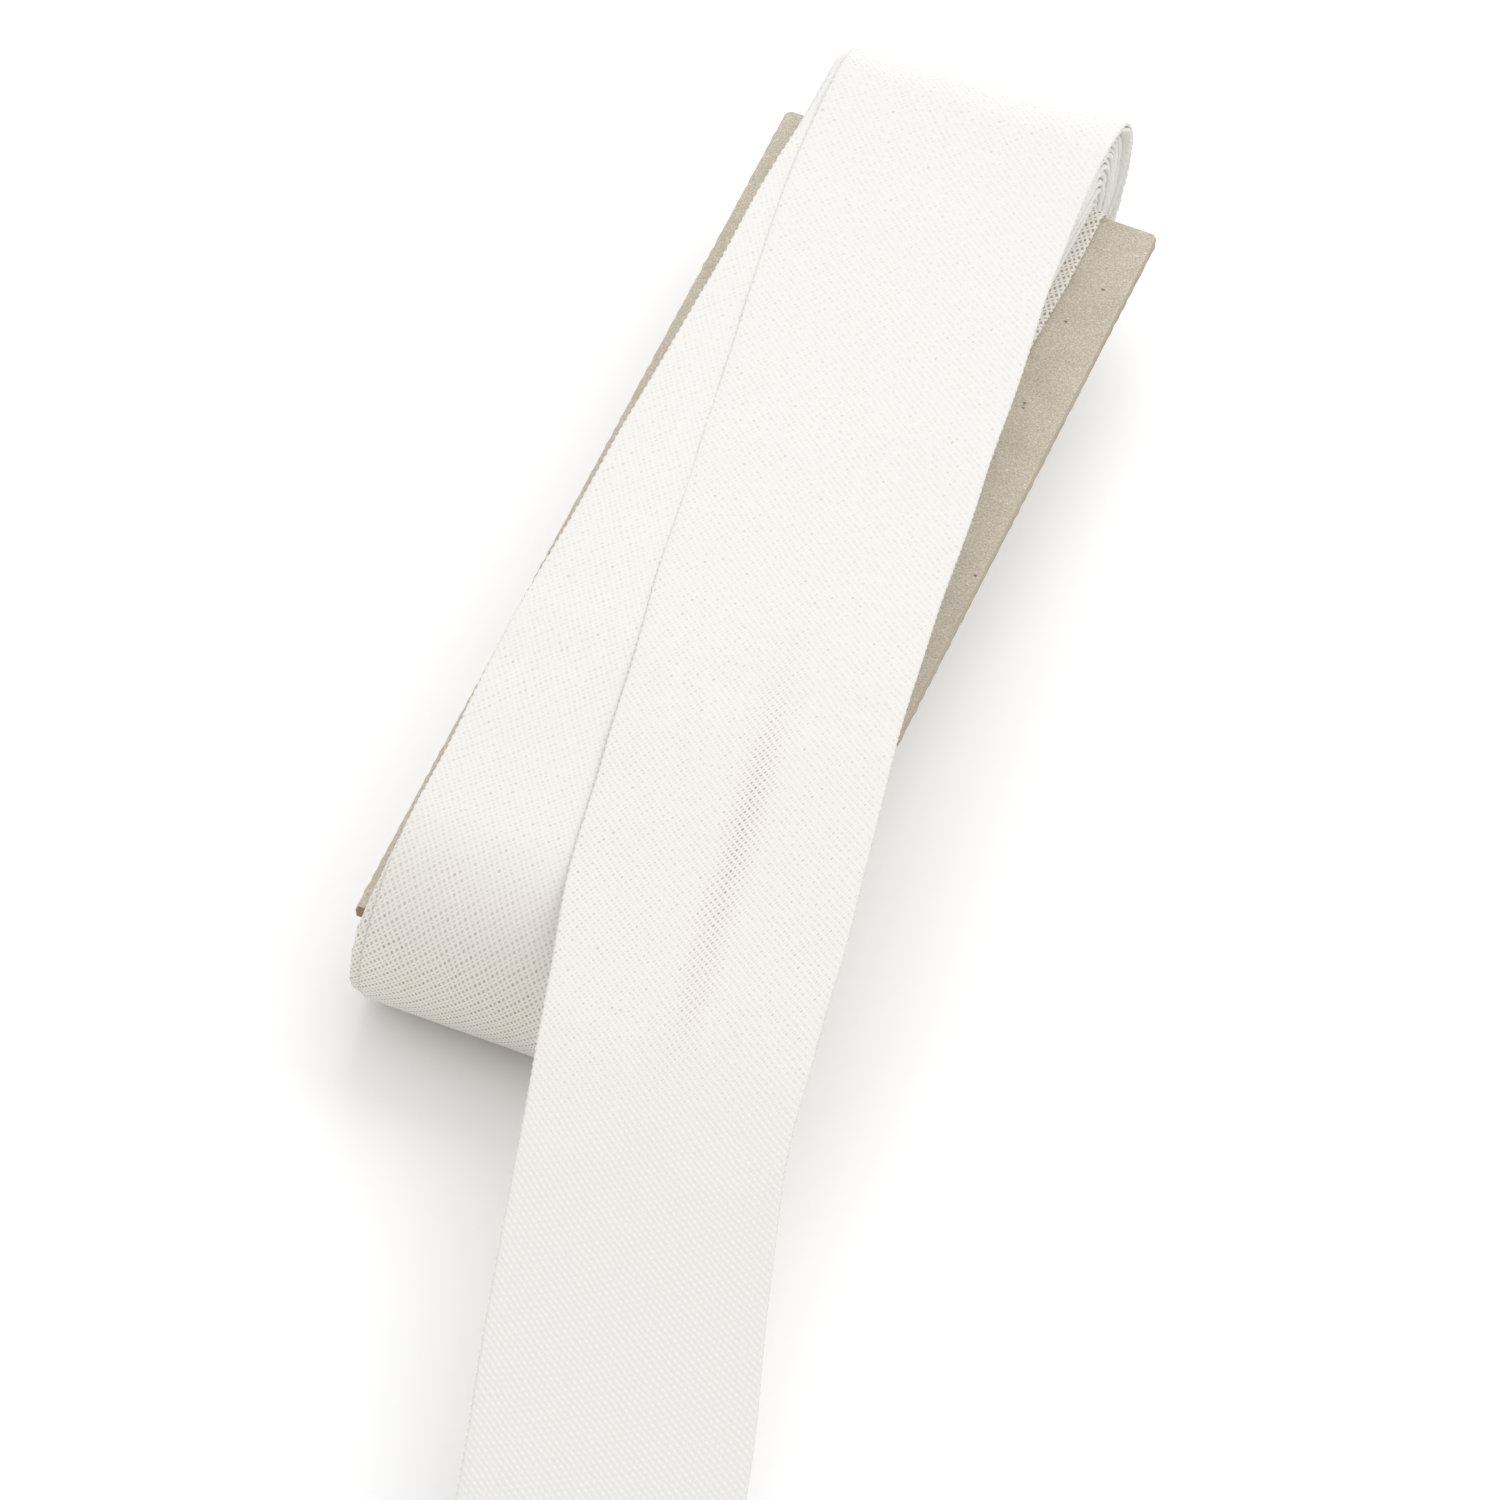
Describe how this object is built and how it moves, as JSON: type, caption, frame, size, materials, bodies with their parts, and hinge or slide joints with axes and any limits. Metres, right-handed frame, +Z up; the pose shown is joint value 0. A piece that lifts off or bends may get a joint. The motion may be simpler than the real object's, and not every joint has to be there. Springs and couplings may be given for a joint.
{
  "type": "roll of bias tape on a card",
  "caption": "Folded cotton bias tape wound lengthwise round a flat chipboard card, with its loose end laid out past one end of the roll.",
  "frame": {"origin": "on the flat underside of the roll, straight under the middle of the card", "axes": "+X across the tape to its right-hand edge, +Y along the card away from the loose end, +Z up from the surface the roll lies on"},
  "size_m": [0.0752, 0.275, 0.0241],
  "materials": {
    "tape": "matte",
    "card": "matte"
  },
  "bodies": {
    "root": {"core_card": "card", "wound_tape": "tape", "loose_end": "tape"}
  },
  "joints": []
}
